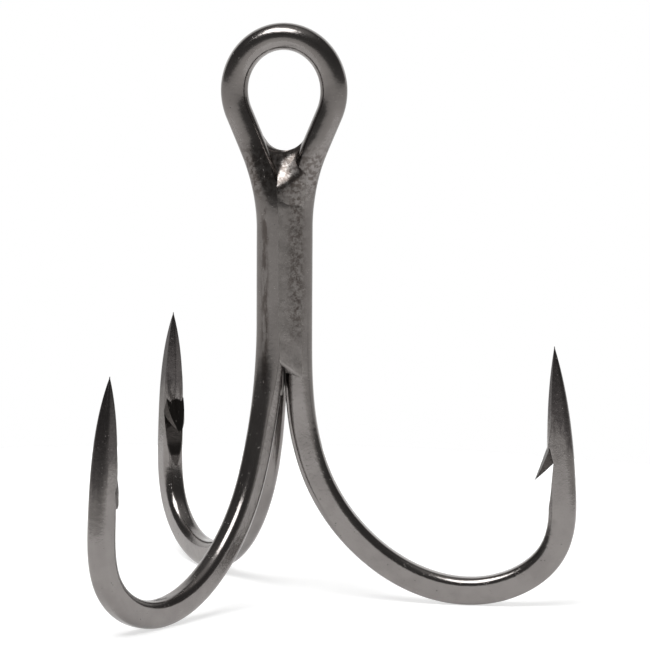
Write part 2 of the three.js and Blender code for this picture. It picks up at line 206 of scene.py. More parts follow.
# The wire's skin: how finely it is divided, and what counts as a doubled corner or a sliver.
MERGE_DISTANCE = 0.0005 * MM
SLIVER_WIDTH = 0.001 * MM
STATION_STEP = 0.16 * MM
TIP_RADIUS = 0.035 * MM
ARC_STEPS = 9
SIDE_FLAT_STEPS = 6
EDGE_FLAT_STEPS = 3
WIRE_CREASE = 32.0
BRAZE_CREASE = 40.0

# The point, the barb and the forging.
POINT_RIDGE_SLOPE = 0.55
RIDGE_RUN_IN = 3.6 * MM
POINT_SWEEP = 0.07 * MM
BARB_CORNER = 0.38 * MM
BARB_EDGE = 0.02 * MM
FORGING_START = 1.5 * MM
FORGING_LENGTH = 6.7 * MM
SHANK_END_DOME = 0.55 * MM

# The saddle of braze and the notch at its top, and the twist of the throat that carries them.
NOTCH_RADIUS = 1.9 * MM
NOTCH_BOTTOM = -4.54 * MM
SADDLE_FOOT = 0.9 * MM
SADDLE_DEPTH = 1.01 * MM
SADDLE_FLATNESS = 1.2
SADDLE_CREST_DEPTH = -0.38 * MM
SADDLE_REAR_HALF_WIDTH = 1.9 * MM
SADDLE_REAR_CROWN = 1.08 * MM
SADDLE_LUMPS = 0.035 * MM
SLOPE_BOTTOM = -6.8 * MM
SLOPE_TOP = -5.0 * MM
SLOPE_SOFT = 0.6 * MM
SLOPE_LEAN = 0.4
GROOVE_MIDDLE = -5.85 * MM
GROOVE_LEAN = 1.25
GROOVE_SWAY = 0.95 * MM
TWIST_TOP = -3.6 * MM
TWIST_BOTTOM = -9.4 * MM
EYE_NARROWING = 0.085

# The braze runs: how proud their skins stand, and how their edges and ends are rounded.
BRAZE_DIVE = 0.2 * MM
FILLET_PROUD = 0.012 * MM
FILLET_OVERLAP = 0.1 * MM
FILLET_BACK = -0.12 * MM
FILLET_LIP = 0.5 * MM
FILLET_LIP_LENGTH = 0.35 * MM
FILLET_TOP_LENGTH = 0.6 * MM
CORE_BOTTOM = -23.1 * MM
CORE_HALF_WIDTH = 0.42 * MM
CORE_DROP = 0.97


def settings():
    return bpy.context.scene.treble_hook


def smooth_step(value):
    t = np.clip(value, 0.0, 1.0)
    return t * t * (3.0 - 2.0 * t)


def soft_slope(value, low, high, soft):
    """From 0 at low to 1 at high in a straight line, with its two corners rounded."""
    climb = soft * np.logaddexp(0, (value - low) / soft * 4) / 4
    level = soft * np.logaddexp(0, (value - high) / soft * 4) / 4
    return (climb - level) / (high - low)


def bundle_centre(wire):
    """How far behind the eye's plane the middle of the three shanks lies."""
    return wire.shank_spacing / (2.0 * math.sqrt(3.0))


def bundle_radius(wire):
    return wire.shank_spacing / math.sqrt(3.0)


def turn_points(points, turn):
    """Points or directions turned about the shank, by one angle or each by its own."""
    points = np.asarray(points, float)
    cos, sin = np.cos(turn), np.sin(turn)
    x, y = points[..., 0] * cos - points[..., 1] * sin, points[..., 0] * sin + points[..., 1] * cos
    return np.stack([x, y, points[..., 2]], -1)


def throat_twist(height):
    """The throat's turn at a height, and how much narrower and further over the eye is there."""
    wire = settings().wire
    share = smooth_step((height - TWIST_BOTTOM) / (TWIST_TOP - TWIST_BOTTOM))
    narrow = 1 - EYE_NARROWING * (1 - (1 - share) ** 3)
    return -wire.eye_turn * share, narrow, wire.eye_offset * share


def twist_points(points):
    """Points of the flat eye and throat, in their places after the twist."""
    turn, narrow, offset = throat_twist(points[..., 2])
    drawn_in = points.copy()
    drawn_in[..., 0] = points[..., 0] * narrow + offset
    return turn_points(drawn_in, turn)


# ---- The hook's curve ----


def bend_parts(bend):
    """Lengths of the bend's five parts, in the order in which the wire runs through them."""
    return bend.flare_spiral, bend.flare_arc, bend.bend_spiral, bend.heel_spiral, bend.heel_run_out


def bend_length(bend):
    return sum(bend_parts(bend))


def hook_line(bend, distances):
    """The drawn hook's centre line: out, rise and heading at distances from the flare's start."""
    knots = np.cumsum([0, *bend_parts(bend)])
    flare, turn, heel = 1 / bend.flare_radius, 1 / bend.bend_radius, 1 / bend.heel_radius
    curvature = np.array([0, flare, flare, turn, heel, 0])
    fine = np.linspace(0, max(distances[-1], knots[-1]), 6000)
    step = fine[1] - fine[0]
    bent = np.interp(fine, knots, curvature)
    heading = np.concatenate([[0], np.cumsum((bent[1:] + bent[:-1]) / 2 * step)]) - math.pi / 2
    middle = (heading[1:] + heading[:-1]) / 2
    out = np.concatenate([[0], np.cumsum(np.cos(middle) * step)])
    rise = np.concatenate([[0], np.cumsum(np.sin(middle) * step)])
    return (
        np.interp(distances, fine, out),
        np.interp(distances, fine, rise),
        np.interp(distances, fine, heading),
    )


def hook_axes(hook):
    azimuth = math.radians(hook["azimuth"])
    out = np.array([math.cos(azimuth), math.sin(azimuth), 0.0])
    return out, np.cross(out, UP)


def hook_origin(hook, wire):
    return np.array([0.0, bundle_centre(wire), wire.flare_start + hook["raised"]])


def leg_start(hook):
    """Where the heel ends and the straight leg of the point begins, with the leg's directions."""
    s = settings()
    out_axis, _ = hook_axes(hook)
    out, rise, heading = (float(v[0]) for v in hook_line(s.bend, [bend_length(s.bend)]))
    reach = bundle_radius(s.wire) + hook["reach"] + out
    place = hook_origin(hook, s.wire) + out_axis * reach + UP * rise
    along = out_axis * math.cos(heading) + UP * math.sin(heading)
    inward = -out_axis * math.sin(heading) + UP * math.cos(heading)
    return place, along, inward


# ---- The wire's skin ----


class Stations:
    """A run of sections along a wire: places, directions and section sizes, one row each."""

    FIELDS = (
        "centre", "outward", "across", "height", "thickness", "corner",
        "cut", "ground", "ridge", "floor",
    )

    def __init__(self, centre, outward, across, height, thickness, corner):
        rows = len(centre)
        uncut = (0.0, 0.0, 0.0, np.inf)
        values = (centre, outward, across, height, thickness, corner, *uncut)
        for name, value in zip(self.FIELDS, values):
            shape = (rows, 3) if name in ("centre", "outward", "across") else rows
            setattr(self, name, np.array(np.broadcast_to(value, shape), float))

    def joined(self, other):
        for name in self.FIELDS:
            setattr(self, name, np.concatenate([getattr(self, name), getattr(other, name)]))
        return self

    def backwards(self, down_to=None):
        """The run in reverse, down to but without the given row."""
        for name in self.FIELDS:
            setattr(self, name, getattr(self, name)[:down_to:-1])
        return self


def section_loop(stations):
    """Every section's outline: a in the hook's plane, b across it, as rows of points."""
    half_a, half_b = stations.height / 2, stations.thickness / 2
    radius = 0.97 * np.minimum(stations.corner, np.minimum(half_a, half_b))

    def corner_point(signs, turn):
        return np.array([
            signs[0] * (half_a - radius) + radius * math.cos(turn),
            signs[1] * (half_b - radius) + radius * math.sin(turn),
        ])

    corners = [(1, 1), (-1, 1), (-1, -1), (1, -1)]
    points = []
    for quarter, signs in enumerate(corners):
        for step in range(ARC_STEPS + 1):
            turn = (quarter + step / ARC_STEPS) * math.pi / 2
            points.append(corner_point(signs, turn))
        start, end = points[-1], corner_point(corners[(quarter + 1) % 4], turn)
        flat_steps = SIDE_FLAT_STEPS if quarter % 2 == 0 else EDGE_FLAT_STEPS
        points += [start + (end - start) * (step / flat_steps) for step in range(1, flat_steps)]
    a, b = np.stack(points, 2)
    roof = half_a[:, None] - stations.ridge[:, None] * np.abs(b)
    return np.minimum(np.minimum(a, roof), stations.floor[:, None]), b


def tube_faces(rows, around):
    """Faces of a closed tube: its rings, row by row, and then its two ends."""
    faces = []
    for row in range(rows - 1):
        for side in range(around):
            after = (side + 1) % around
            near, far = row * around, (row + 1) * around
            faces.append((near + side, near + after, far + after, far + side))
    faces.append(tuple(range(around - 1, -1, -1)))
    faces.append(tuple((rows - 1) * around + side for side in range(around)))
    return faces


def slab_faces(rows, columns):
    """Faces of two grids of points, front then back, joined round their border."""
    back = rows * columns
    faces = []
    for row in range(rows - 1):
        for column in range(columns - 1):
            i = row * columns + column
            quad = (i, i + columns, i + columns + 1, i + 1)
            faces.append(quad)
            faces.append(tuple(back + k for k in reversed(quad)))
    border = (
        list(range(columns - 1))
        + [row * columns + columns - 1 for row in range(rows - 1)]
        + [(rows - 1) * columns + k for k in range(columns - 1, 0, -1)]
        + [row * columns for row in range(rows - 1, 0, -1)]
    )
    for here, after in zip(border, border[1:] + border[:1]):
        faces.append((here, after, back + after, back + here))
    return faces


def sweep(stations):
    """Closed skin of the run: vertices, faces and, for each face corner, two sets of UVs."""
    a, b = section_loop(stations)
    rings = (
        stations.centre[:, None, :]
        + a[:, :, None] * stations.outward[:, None, :]
        + b[:, :, None] * stations.across[:, None, :]
    )
    rows, around = a.shape
    spacing = np.linalg.norm(np.diff(stations.centre, axis=0), axis=1)
    along = np.concatenate([[0], np.cumsum(spacing)]) / MM
    wire_uv, zone_uv = [], []
    zone = np.stack([stations.cut, stations.ground], 1)
    for row in range(rows - 1):
        here, after = along[row], along[row + 1]
        for side in range(around):
            near, far = side / around, (side + 1) / around
            wire_uv += [(here, near), (here, far), (after, far), (after, near)]
            zone_uv += [zone[row], zone[row], zone[row + 1], zone[row + 1]]
    for row in (0, rows - 1):
        wire_uv += [(along[row], 0.0)] * around
        zone_uv += [zone[row]] * around
    return rings, tube_faces(rows, around), wire_uv, zone_uv


def mesh_object(name, vertices, faces, wire_uv=None, zone_uv=None):
    """A new object, turned from the drawing, where the front shanks lie across X, to the frame."""
    vertices = turn_points(vertices, settings().wire.eye_turn).reshape(-1, 3)
    mesh = bpy.data.meshes.new(name)
    mesh.from_pydata([tuple(v) for v in vertices], [], faces)
    for layer, values in (("wire", wire_uv), ("zone", zone_uv)):
        if values is not None:
            uv = mesh.uv_layers.new(name=layer)
            uv.data.foreach_set("uv", np.asarray(values, np.float32).ravel())
    mesh.update()
    mesh.validate()
    piece = bpy.data.objects.new(name, mesh)
    bpy.context.scene.collection.objects.link(piece)
    return piece


def join_solid(piece, tool):
    """Unites a closed tool with the piece and removes the tool."""
    modifier = piece.modifiers.new("union", "BOOLEAN")
    modifier.operation = "UNION"
    modifier.object = tool
    modifier.solver = "EXACT"
    graph = bpy.context.evaluated_depsgraph_get()
    united = bpy.data.meshes.new_from_object(piece.evaluated_get(graph))
    piece.modifiers.clear()
    united.name = piece.name
    piece.data = united
    bpy.data.objects.remove(tool)


def shade(piece, degrees):
    piece.data.polygons.foreach_set("use_smooth", [True] * len(piece.data.polygons))
    piece.data.set_sharp_from_angle(angle=math.radians(degrees))


def finish_piece(piece, material, slot, *nodes):
    piece.data.materials.clear()
    piece.data.materials.append(material)
    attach(piece, BODY)
    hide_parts(*nodes)


# ---- Hooks, shanks and eye ----


def cut_floor(along):
    """Height of the barb cut's floor at a place along the leg, infinite where there is no cut."""
    barb = settings().barb
    floor = np.interp(
        along,
        [barb.cut_end_along, barb.cut_middle_along, barb.crotch_along],
        [barb.cut_end_out, barb.cut_middle_out, barb.crotch_out],
    )
    inside = (along >= barb.cut_end_along) & (along <= barb.crotch_along)
    return np.where(inside, floor, np.inf)


def hook_stations(hook):
    """The run from the start of the flare to the tip of the point."""
    s = settings()
    bend, wire, barb = s.bend, s.wire, s.barb
    total = bend_length(bend) + bend.point_leg + hook["longer"]
    crotch = bend_length(bend) + barb.crotch_along
    rows = int(total / STATION_STEP)
    distances = np.linspace(0, total, rows + 1)[1:]
    edge = 0.002 * MM
    near_tip = total - np.array([0.1, 0.05, 0.02]) * MM
    distances = np.unique(np.concatenate([distances, [crotch - edge, crotch + edge], near_tip]))
    out, rise, heading = hook_line(bend, distances)
    out_axis, across = hook_axes(hook)
    reach = bundle_radius(wire) + out + hook["reach"] * smooth_step(distances / bend.flare_spiral)
    outward = -np.sin(heading)[:, None] * out_axis + np.cos(heading)[:, None] * UP
    centre = hook_origin(hook, wire) + reach[:, None] * out_axis + rise[:, None] * UP
    to_tip = np.clip((total - distances) / bend.point_taper, 0, 1)
    up_leg = np.clip((distances - bend_length(bend)) / (total - bend_length(bend)), 0, 1)
    inwards = POINT_SWEEP * (1 - to_tip) ** 2 + hook["lean"] * up_leg**1.3
    centre = centre + inwards[:, None] * outward
    full = 1 - (1 - to_tip) ** hook["fullness"]
    forged = smooth_step((distances - FORGING_START) / FORGING_LENGTH)

    def scaled(drawn, forged_size):
        size = (drawn + (forged_size - drawn) * forged) * full
        return np.maximum(size, 2 * TIP_RADIUS)

    run = Stations(
        centre,
        outward,
        across,
        scaled(wire.wire_diameter, bend.forged_height),
        scaled(wire.wire_diameter, bend.forged_thickness),
        scaled(wire.wire_diameter / 2, bend.forged_corner),
    )
    along = distances - bend_length(bend)
    up_cut = (along - barb.cut_end_along) / (barb.crotch_along - barb.cut_end_along)
    run.cut = np.where(up_cut > 1, 0.0, np.clip(up_cut, 0, 1) ** 0.6)
    run.ground = 1 - to_tip
    ridge_start = barb.crotch_along - 0.3 * MM
    run.ridge = POINT_RIDGE_SLOPE * smooth_step((along - ridge_start) / RIDGE_RUN_IN)
    run.floor = cut_floor(along)
    return run


def eye_leg(wire):
    """Length of the eye's straight legs, and the height where the throat's curve begins."""
    slope = wire.eye_leg_slope
    run = wire.eye_radius * math.cos(slope) - wire.shank_spacing / 2
    leg = (run - wire.throat_radius * (1 - math.cos(slope))) / math.sin(slope)
    return leg, -wire.eye_radius * math.sin(slope) - leg * math.cos(slope)


def eye_stations():
    """The eye, from the left leg's throat over the top to the right leg's throat."""
    wire = settings().wire
    slope, round_radius, throat = wire.eye_leg_slope, wire.eye_radius, wire.throat_radius
    half = wire.shank_spacing / 2
    leg_top_x, leg_top_z = round_radius * math.cos(slope), -round_radius * math.sin(slope)
    leg, throat_top = eye_leg(wire)
    round_length = round_radius * (math.pi / 2 + slope)
    total = round_length + leg + throat * slope
    s = np.linspace(0, total, int(total / STATION_STEP))
    turn = np.where(s < round_length, s / round_radius, math.pi / 2 + slope)
    left_over = np.clip((total - s) / throat, 0, slope)
    turn = np.where(s > total - throat * slope, math.pi / 2 + left_over, turn)
    on_leg = np.clip(s - round_length, 0, leg)
    throat_x = half + throat * (1 - np.cos(left_over))
    throat_z = throat_top - throat * (math.sin(slope) - np.sin(left_over))
    x = np.where(s < round_length, round_radius * np.sin(turn), leg_top_x - on_leg * math.sin(slope))
    z = np.where(s < round_length, round_radius * np.cos(turn), leg_top_z - on_leg * math.cos(slope))
    in_throat = s > total - throat * slope
    x, z = np.where(in_throat, throat_x, x), np.where(in_throat, throat_z, z)
    thinning = smooth_step((z - wire.saddle_bottom) / (-round_radius - wire.saddle_bottom))
    diameter = wire.wire_diameter + (wire.eye_wire_diameter - wire.wire_diameter) * thinning
    flat = np.zeros(len(s))
    throat_turn, narrow, _ = throat_twist(z)
    across = turn_points(np.stack([flat, flat - 1, flat], 1), throat_turn)
    sides = []
    for side in (-1, 1):
        centre = twist_points(np.stack([side * x, flat, z], 1))
        outward = np.stack([side * np.sin(turn), flat, narrow * np.cos(turn)], 1)
        outward = turn_points(outward, throat_turn)
        outward /= np.linalg.norm(outward, axis=1)[:, None]
        sides.append(Stations(centre, outward, across, diameter, diameter, diameter / 2))
    left, right = sides
    return left.backwards(0).joined(right)


def shank_stations(hook, side, top):
    """The straight shank, turning its section from the eye's plane to the hook's."""
    wire = settings().wire
    bottom = wire.flare_start + hook["raised"]
    rows = int((top - bottom) / (3 * STATION_STEP))
    share = np.linspace(0, 1, rows + 1)[1:]
    start = 0.0 if side > 0 else 180.0
    azimuth = np.radians(start + (hook["azimuth"] - start) * share)
    outward = np.stack([np.cos(azimuth), np.sin(azimuth), 0 * azimuth], 1)
    across = np.cross(outward, UP) * side
    centre = np.zeros((rows, 3))
    centre[:, 0] = side * wire.shank_spacing / 2
    centre[:, 2] = top + (bottom - top) * share
    diameter = wire.wire_diameter
    return Stations(centre, outward, across, diameter, diameter, diameter / 2)


def barb_spike(name, hook):
    """The sliver that the chisel lifts out of its cut: a shield-shaped tongue with a ridge."""
    s = settings()
    barb, bend = s.barb, s.bend
    place, along_axis, inward = leg_start(hook)
    across = np.cross(along_axis, inward)
    lengths, widths = 26, 16
    half_a, half_b, radius = bend.forged_height / 2, bend.forged_thickness / 2, BARB_CORNER

    def surface(b):
        corner = np.clip(np.abs(b) - (half_b - radius), 0, radius)
        top = half_a - radius + np.sqrt(radius**2 - corner**2)
        return np.minimum(top, half_a - 0.35 * POINT_RIDGE_SLOPE * np.abs(b))

    fractions = np.linspace(0, 1, lengths)
    floor = barb.crotch_out + (half_a - barb.crotch_out) * fractions
    share = np.clip((floor - (half_a - radius)) / radius, 0, 1)
    half_width = half_b - radius + radius * np.sqrt(1 - share**2)
    half_width = half_width * np.clip(1 - fractions**1.7, 0, 1) ** 0.7 + BARB_EDGE
    crotch = np.array([barb.crotch_along, barb.crotch_out])
    tip = np.array([barb.tip_along, barb.tip_out - hook["barb_in"]])
    lift = np.array([barb.root_along, barb.root_out]) - crotch
    thickest = surface(np.array(0.0)) - barb.crotch_out
    under, outer = [], []
    for f, c, w in zip(fractions, floor, half_width):
        base = crotch + (tip - crotch) * f
        for b in np.linspace(-w, w, widths):
            thick = max(float(surface(np.array(b)) - c), 0.0) / thickest
            thick = max(thick, 0.03 * (1 - (b / w) ** 2)) if abs(b) < w * 0.999 else 0.0
            raised = base + lift * thick
            under.append(place + along_axis * base[0] + inward * base[1] + across * b)
            outer.append(place + along_axis * raised[0] + inward * raised[1] + across * b)
    faces = slab_faces(lengths, widths)
    corners = 4 * len(faces)
    wire_uv, zone_uv = [(0.0, 0.0)] * corners, [(0.5, 0.0)] * corners
    spike = mesh_object(name, under + outer, faces, wire_uv, zone_uv)
    tidy_solid(spike)
    return spike


def tidy_solid(piece):
    """Merges coincident corners, splits many-sided faces and turns every face outwards."""
    solid = bmesh.new()
    solid.from_mesh(piece.data)
    bmesh.ops.remove_doubles(solid, verts=solid.verts, dist=MERGE_DISTANCE)
    bmesh.ops.dissolve_degenerate(solid, edges=solid.edges, dist=MERGE_DISTANCE)
    many_sided = [face for face in solid.faces if len(face.verts) > 4]
    bmesh.ops.triangulate(solid, faces=many_sided)
    bmesh.ops.dissolve_degenerate(solid, edges=solid.edges, dist=SLIVER_WIDTH)
    bmesh.ops.recalc_face_normals(solid, faces=solid.faces)
    if solid.calc_volume(signed=True) < 0:
        bmesh.ops.reverse_faces(solid, faces=solid.faces)
    solid.to_mesh(piece.data)
    solid.free()
    piece.data.update()


def build_wire(name, run, hooks):
    piece = mesh_object(name, *sweep(run))
    for hook in hooks:
        join_solid(piece, barb_spike(name + "_barb", hook))
    tidy_solid(piece)
    shade(piece, WIRE_CREASE)
    return piece


# ---- Materials ----


class Nodes:
    """Short names for building a material's nodes."""

    def __init__(self, owner, shader):
        self.tree = owner.node_tree
        self.shader = shader

    def add(self, kind, **values):
        """A new node, with its properties set and its inputs fed."""
        node = self.tree.nodes.new(kind)
        inputs = {}
        for key, value in values.items():
            if key in node.bl_rna.properties:
                setattr(node, key, value)
            else:
                inputs[key] = value
        self.feed(node, **inputs)
        return node

    def feed(self, node, **values):
        """Feeds a node's inputs, each from another node's output or with a fixed value."""
        for key, value in values.items():
            self.give(node.inputs[key.replace("_", " ")], value)

    def give(self, socket, value):
        if isinstance(value, bpy.types.NodeSocket):
            self.tree.links.new(value, socket)
        else:
            socket.default_value = value

    def millimetres(self, stretch=(1.0, 1.0, 1.0)):
        """The piece's own coordinates, in millimetres."""
        place = self.add("ShaderNodeTexCoord").outputs["Object"]
        scale = [1000.0 * k for k in stretch]
        return self.add("ShaderNodeMapping", Vector=place, Scale=scale).outputs["Vector"]

    def uv(self, layer, stretch=(1.0, 1.0, 1.0)):
        place = self.add("ShaderNodeUVMap", uv_map=layer).outputs["UV"]
        return self.add("ShaderNodeMapping", Vector=place, Scale=stretch).outputs["Vector"]

    def parts(self, vector):
        return self.add("ShaderNodeSeparateXYZ", Vector=vector).outputs

    def noise(self, vector, scale, detail=4.0, roughness=0.5):
        node = self.add(
            "ShaderNodeTexNoise", Vector=vector, Scale=scale, Detail=detail, Roughness=roughness
        )
        return node.outputs["Fac"]

    def dots(self, vector, scale, low, high):
        """Scattered round dots, 1 at their middles and 0 between them."""
        cells = self.add("ShaderNodeTexVoronoi", Vector=vector, Scale=scale)
        return self.ramp(cells.outputs["Distance"], low, high, 1.0, 0.0)

    def ramp(self, value, low, high, to_low=0.0, to_high=1.0, linear=False):
        node = self.add(
            "ShaderNodeMapRange",
            interpolation_type="LINEAR" if linear else "SMOOTHSTEP",
            Value=value,
            From_Min=low,
            From_Max=high,
            To_Min=to_low,
            To_Max=to_high,
        )
        return node.outputs["Result"]

    def math(self, operation, *values):
        node = self.add("ShaderNodeMath", operation=operation)
        for socket, value in zip(node.inputs, values):
            self.give(socket, value)
        return node.outputs[0]

    def times(self, first, second):
        return self.math("MULTIPLY", first, second)

    def plus(self, first, second):
        return self.math("ADD", first, second)

    def mix_colour(self, factor, first, second):
        node = self.add("ShaderNodeMix", data_type="RGBA", Factor=factor)
        for index, value in ((6, first), (7, second)):
            is_link = isinstance(value, bpy.types.NodeSocket)
            self.give(node.inputs[index], value if is_link else (*value, 1.0))
        return node.outputs[2]

    def bump(self, height, distance, strength, below=None):
        node = self.add("ShaderNodeBump", Height=height, Distance=distance, Strength=strength)
        if below is not None:
            self.feed(node, Normal=below)
        return node.outputs["Normal"]


def stain_and_throat_shade_mask(n, where):
    """The flux's stains, a mottled band down the right shank and a line down the left, and painted shade
    round the throat's saddle, mottled like them.
    """
    place = n.parts(where)
    height = place["Z"]

    def across(degrees):
        turn = math.radians(degrees)
        return n.plus(n.times(place["X"], math.cos(turn)), n.times(place["Y"], math.sin(turn)))

    def window(value, low, high, soft):
        inside = n.ramp(value, low - soft, low + soft)
        return n.times(inside, n.ramp(value, high - soft, high + soft, 1.0, 0.0))

    coarse = n.noise(where, scale=2.9, detail=6.0, roughness=0.68)
    band = n.times(window(across(30.0), -0.1, 1.1, soft=0.45), window(height, -18.5, -5.6, soft=1.8))
    band = n.times(band, n.ramp(coarse, 0.42, 0.6))
    streaks = n.noise(n.millimetres((1.0, 1.0, 0.25)), scale=2.6, detail=4.0, roughness=0.6)
    line = n.times(window(across(5.6), -1.7, -1.22, soft=0.16), window(height, -22.0, -8.2, soft=1.5))
    line = n.times(line, n.ramp(streaks, 0.38, 0.55))
    # Painted shade: mottled dark patches round the saddle's highlight in the throat.
    throat = n.times(window(height, -7.8, -4.3, soft=0.9), n.ramp(coarse, 0.43, 0.57))
    return n.math("MAXIMUM", n.math("MAXIMUM", band, line), throat)


def new_material(name):
    made = bpy.data.materials.new(name)
    made.use_nodes = True
    return made, Nodes(made, made.node_tree.nodes["Principled BSDF"])


def nickel_material():
    """Black nickel over drawn wire: fine die lines, orange peel, pits and ground points."""
    finish = settings().finish
    made, n = new_material("black_nickel")
    where = n.millimetres()
    broad = n.ramp(n.noise(where, scale=0.55, detail=3.0), 0.35, 0.65)
    fine = n.noise(where, scale=9.0, detail=5.0, roughness=0.6)
    peel = n.noise(where, scale=2.4, detail=2.0)
    die_lines = n.noise(n.uv("wire", (0.22, 46.0, 1.0)), scale=1.0, roughness=0.65)
    few = n.ramp(n.noise(where, scale=0.9, detail=2.0), 0.52, 0.62)
    pit = n.times(n.dots(where, scale=2.3, low=0.05, high=0.13), few)
    some = n.ramp(n.noise(where, scale=1.3, detail=3.0, roughness=0.6), 0.5, 0.6)
    speck = n.times(n.dots(where, scale=4.6, low=0.08, high=0.2), some)

    # The ground point is dark, with flames along its edge that reach lower on the outer side.
    zones = n.parts(n.uv("zone"))
    around = n.parts(n.uv("wire"))["Y"]
    from_outer = n.math("ABSOLUTE", n.math("SUBTRACT", around, 0.48))
    outer_edge = n.ramp(from_outer, 0.08, 0.24, 0.2, 0.0)
    flames = n.noise(n.uv("wire", (0.6, 18.0, 1.0)), scale=1.0, roughness=0.62)
    dark_point = n.plus(n.plus(zones["Y"], outer_edge), n.times(flames, 0.5))
    dark_point = n.ramp(dark_point, 0.64, 0.8)
    grain = n.noise(where, scale=5.0, detail=4.0, roughness=0.7)
    point_skin = n.times(dark_point, n.ramp(grain, 0.35, 0.7, 0.95, 0.7))

    # Painted shade: the chisel cut and the barb are painted dark on the inner side, in a strip that
    # widens towards the crotch.
    off_ridge = n.math("ABSOLUTE", n.math("SUBTRACT", around, 0.98))
    off_ridge = n.math("MINIMUM", off_ridge, n.plus(around, 0.02))
    cut_shade_mask = n.math("SUBTRACT", n.times(zones["X"], 0.19), off_ridge)

    colour_now = n.mix_colour(broad, finish.nickel_dark, finish.nickel_light)
    # Painted shade: the pits are painted darker than the plating round them.
    pit_painted_shade = tuple(0.35 * c for c in finish.nickel_dark)
    for share, towards in (
        (n.times(pit, 0.8), pit_painted_shade),
        # Flux stains, and painted shade in the throat.
        (n.times(stain_and_throat_shade_mask(n, where), 0.72), finish.stain_and_throat_shade),
        (point_skin, finish.point_dark),
        # Painted shade over the barb and its chisel cut.
        (n.ramp(cut_shade_mask, 0.0, 0.03, 0.0, 0.85), finish.cut_painted_shade),
        (n.times(speck, 0.35), finish.speck),
    ):
        colour_now = n.mix_colour(share, colour_now, towards)

    rough = n.math("MULTIPLY_ADD", fine, 0.1, finish.nickel_roughness - 0.05)
    rough = n.plus(n.plus(rough, n.times(die_lines, 0.05)), n.times(dark_point, 0.08))
    normal = None
    for height, depth, strength in (
        (peel, 0.018, 0.55),
        (die_lines, 0.006, 0.5),
        (fine, 0.007, 0.45),
        (pit, -0.02, 0.8),
        (speck, 0.02, 0.5),
    ):
        normal = n.bump(height, depth * MM, strength, normal)
    n.feed(n.shader, Base_Color=colour_now, Metallic=1.0, Roughness=rough, Normal=normal)
    return made


def braze_material():
    """Plated braze: the same black nickel over a frozen, slightly lumpy and pitted metal."""
    finish = settings().finish
    made, n = new_material("plated_braze")
    where = n.millimetres()
    blotch = n.ramp(n.noise(where, scale=1.6, roughness=0.6), 0.38, 0.62)
    grain = n.noise(where, scale=7.0, roughness=0.65)
    lumps = n.noise(where, scale=2.2, detail=3.0)
    tint = n.mix_colour(blotch, finish.braze_dark, finish.braze_light)
    # Flux stains, and painted shade in the throat.
    tint = n.mix_colour(n.times(stain_and_throat_shade_mask(n, where), 0.8), tint, finish.stain_and_throat_shade)
    rough = n.math("MULTIPLY_ADD", grain, 0.2, finish.braze_roughness - 0.1)
    normal = n.bump(lumps, 0.04 * MM, 0.5)
    normal = n.bump(grain, 0.012 * MM, 0.5, normal)
    n.feed(n.shader, Base_Color=tint, Metallic=1.0, Roughness=rough, Normal=normal)
    return made


def floor_material():
    """A matt white card with an even glow of its own, which keeps the ground white."""
    white = settings().finish.floor_white
    made, n = new_material("studio_floor")
    grain = n.noise(n.millimetres(), scale=1.2, detail=3.0)
    n.feed(
        n.shader,
        Base_Color=n.mix_colour(grain, tuple(0.985 * c for c in white), white),
        Roughness=0.9,
        Specular_IOR_Level=0.1,
        Emission_Color=(1.0, 1.0, 1.0, 1.0),
        Emission_Strength=FLOOR_GLOW,
    )
    return made


def material(name, maker):
    return bpy.data.materials.get(name) or maker()


# ---- The braze ----


def lump(x, z, seed):
    """A smooth irregular height between -1 and 1, the same on every run."""
    waves = np.random.default_rng(seed).uniform(0.0, 1.0, (14, 4))
    height = np.zeros(np.broadcast(x, z).shape)
    for kx, kz, phase, size in waves:
        wave_x, wave_z = (0.6 + 5.0 * kx) / MM, (0.3 + 4.0 * kz) / MM
        height += (0.4 + size) * np.sin(wave_x * x + wave_z * z + 6.28 * phase)
    return height / 9.0


def fillet_run(name, fillet_radius, turn, top, bottom_left, bottom_right, lumps, seed):
    """A run of braze in the valley between two shanks, closed, with a rounded lower lip."""
    wire = settings().wire
    radius, half = wire.wire_diameter / 2, wire.shank_spacing / 2
    reach = radius + fillet_radius
    arc_y = -math.sqrt(reach**2 - half**2)
    touch_x = half - radius * half / reach
    columns, rows = 31, 150
    edge = touch_x + FILLET_OVERLAP
    x = np.linspace(-edge, edge, columns)
    share = np.linspace(0, 1, rows)[:, None]
    bottom = bottom_left + (bottom_right - bottom_left) * (x + edge) / (2 * edge)
    z = top + (bottom - top) * share
    valley = arc_y + np.sqrt(fillet_radius**2 - np.minimum(np.abs(x), touch_x) ** 2)
    dive = np.clip((np.abs(x) - touch_x) / (edge - touch_x), 0, 1) * BRAZE_DIVE
    proud = FILLET_PROUD + lumps * lump(x, z, seed)
    to_end = np.clip((z - bottom) / FILLET_LIP_LENGTH, 0, 1)
    lip = (1 - np.sqrt(1 - (1 - to_end) ** 2)) * FILLET_LIP
    to_top = np.clip((top - z) / FILLET_TOP_LENGTH, 0, 1)
    y_front = valley - proud + dive + lip + 0.06 * MM * (1 - to_top) ** 2
    y_back = np.full_like(z, FILLET_BACK)
    centre = bundle_centre(wire)

    def place(px, py, pz):
        points = np.stack([px, py - centre, pz], -1)
        return turn_points(points, math.radians(turn)) + [0, centre, 0]

    wide = np.broadcast_to(x, z.shape)
    front, back = place(wide, y_front, z), place(wide * 0.3, y_back, z)
    return closed_slab(name, front, back)


def closed_slab(name, front, back):
    """Two grids of points, front and back, joined round their border into one closed skin."""
    rows, columns, _ = front.shape
    slab = mesh_object(name, np.stack([front, back]), slab_faces(rows, columns))
    tidy_solid(slab)
    shade(slab, BRAZE_CREASE)
    return slab


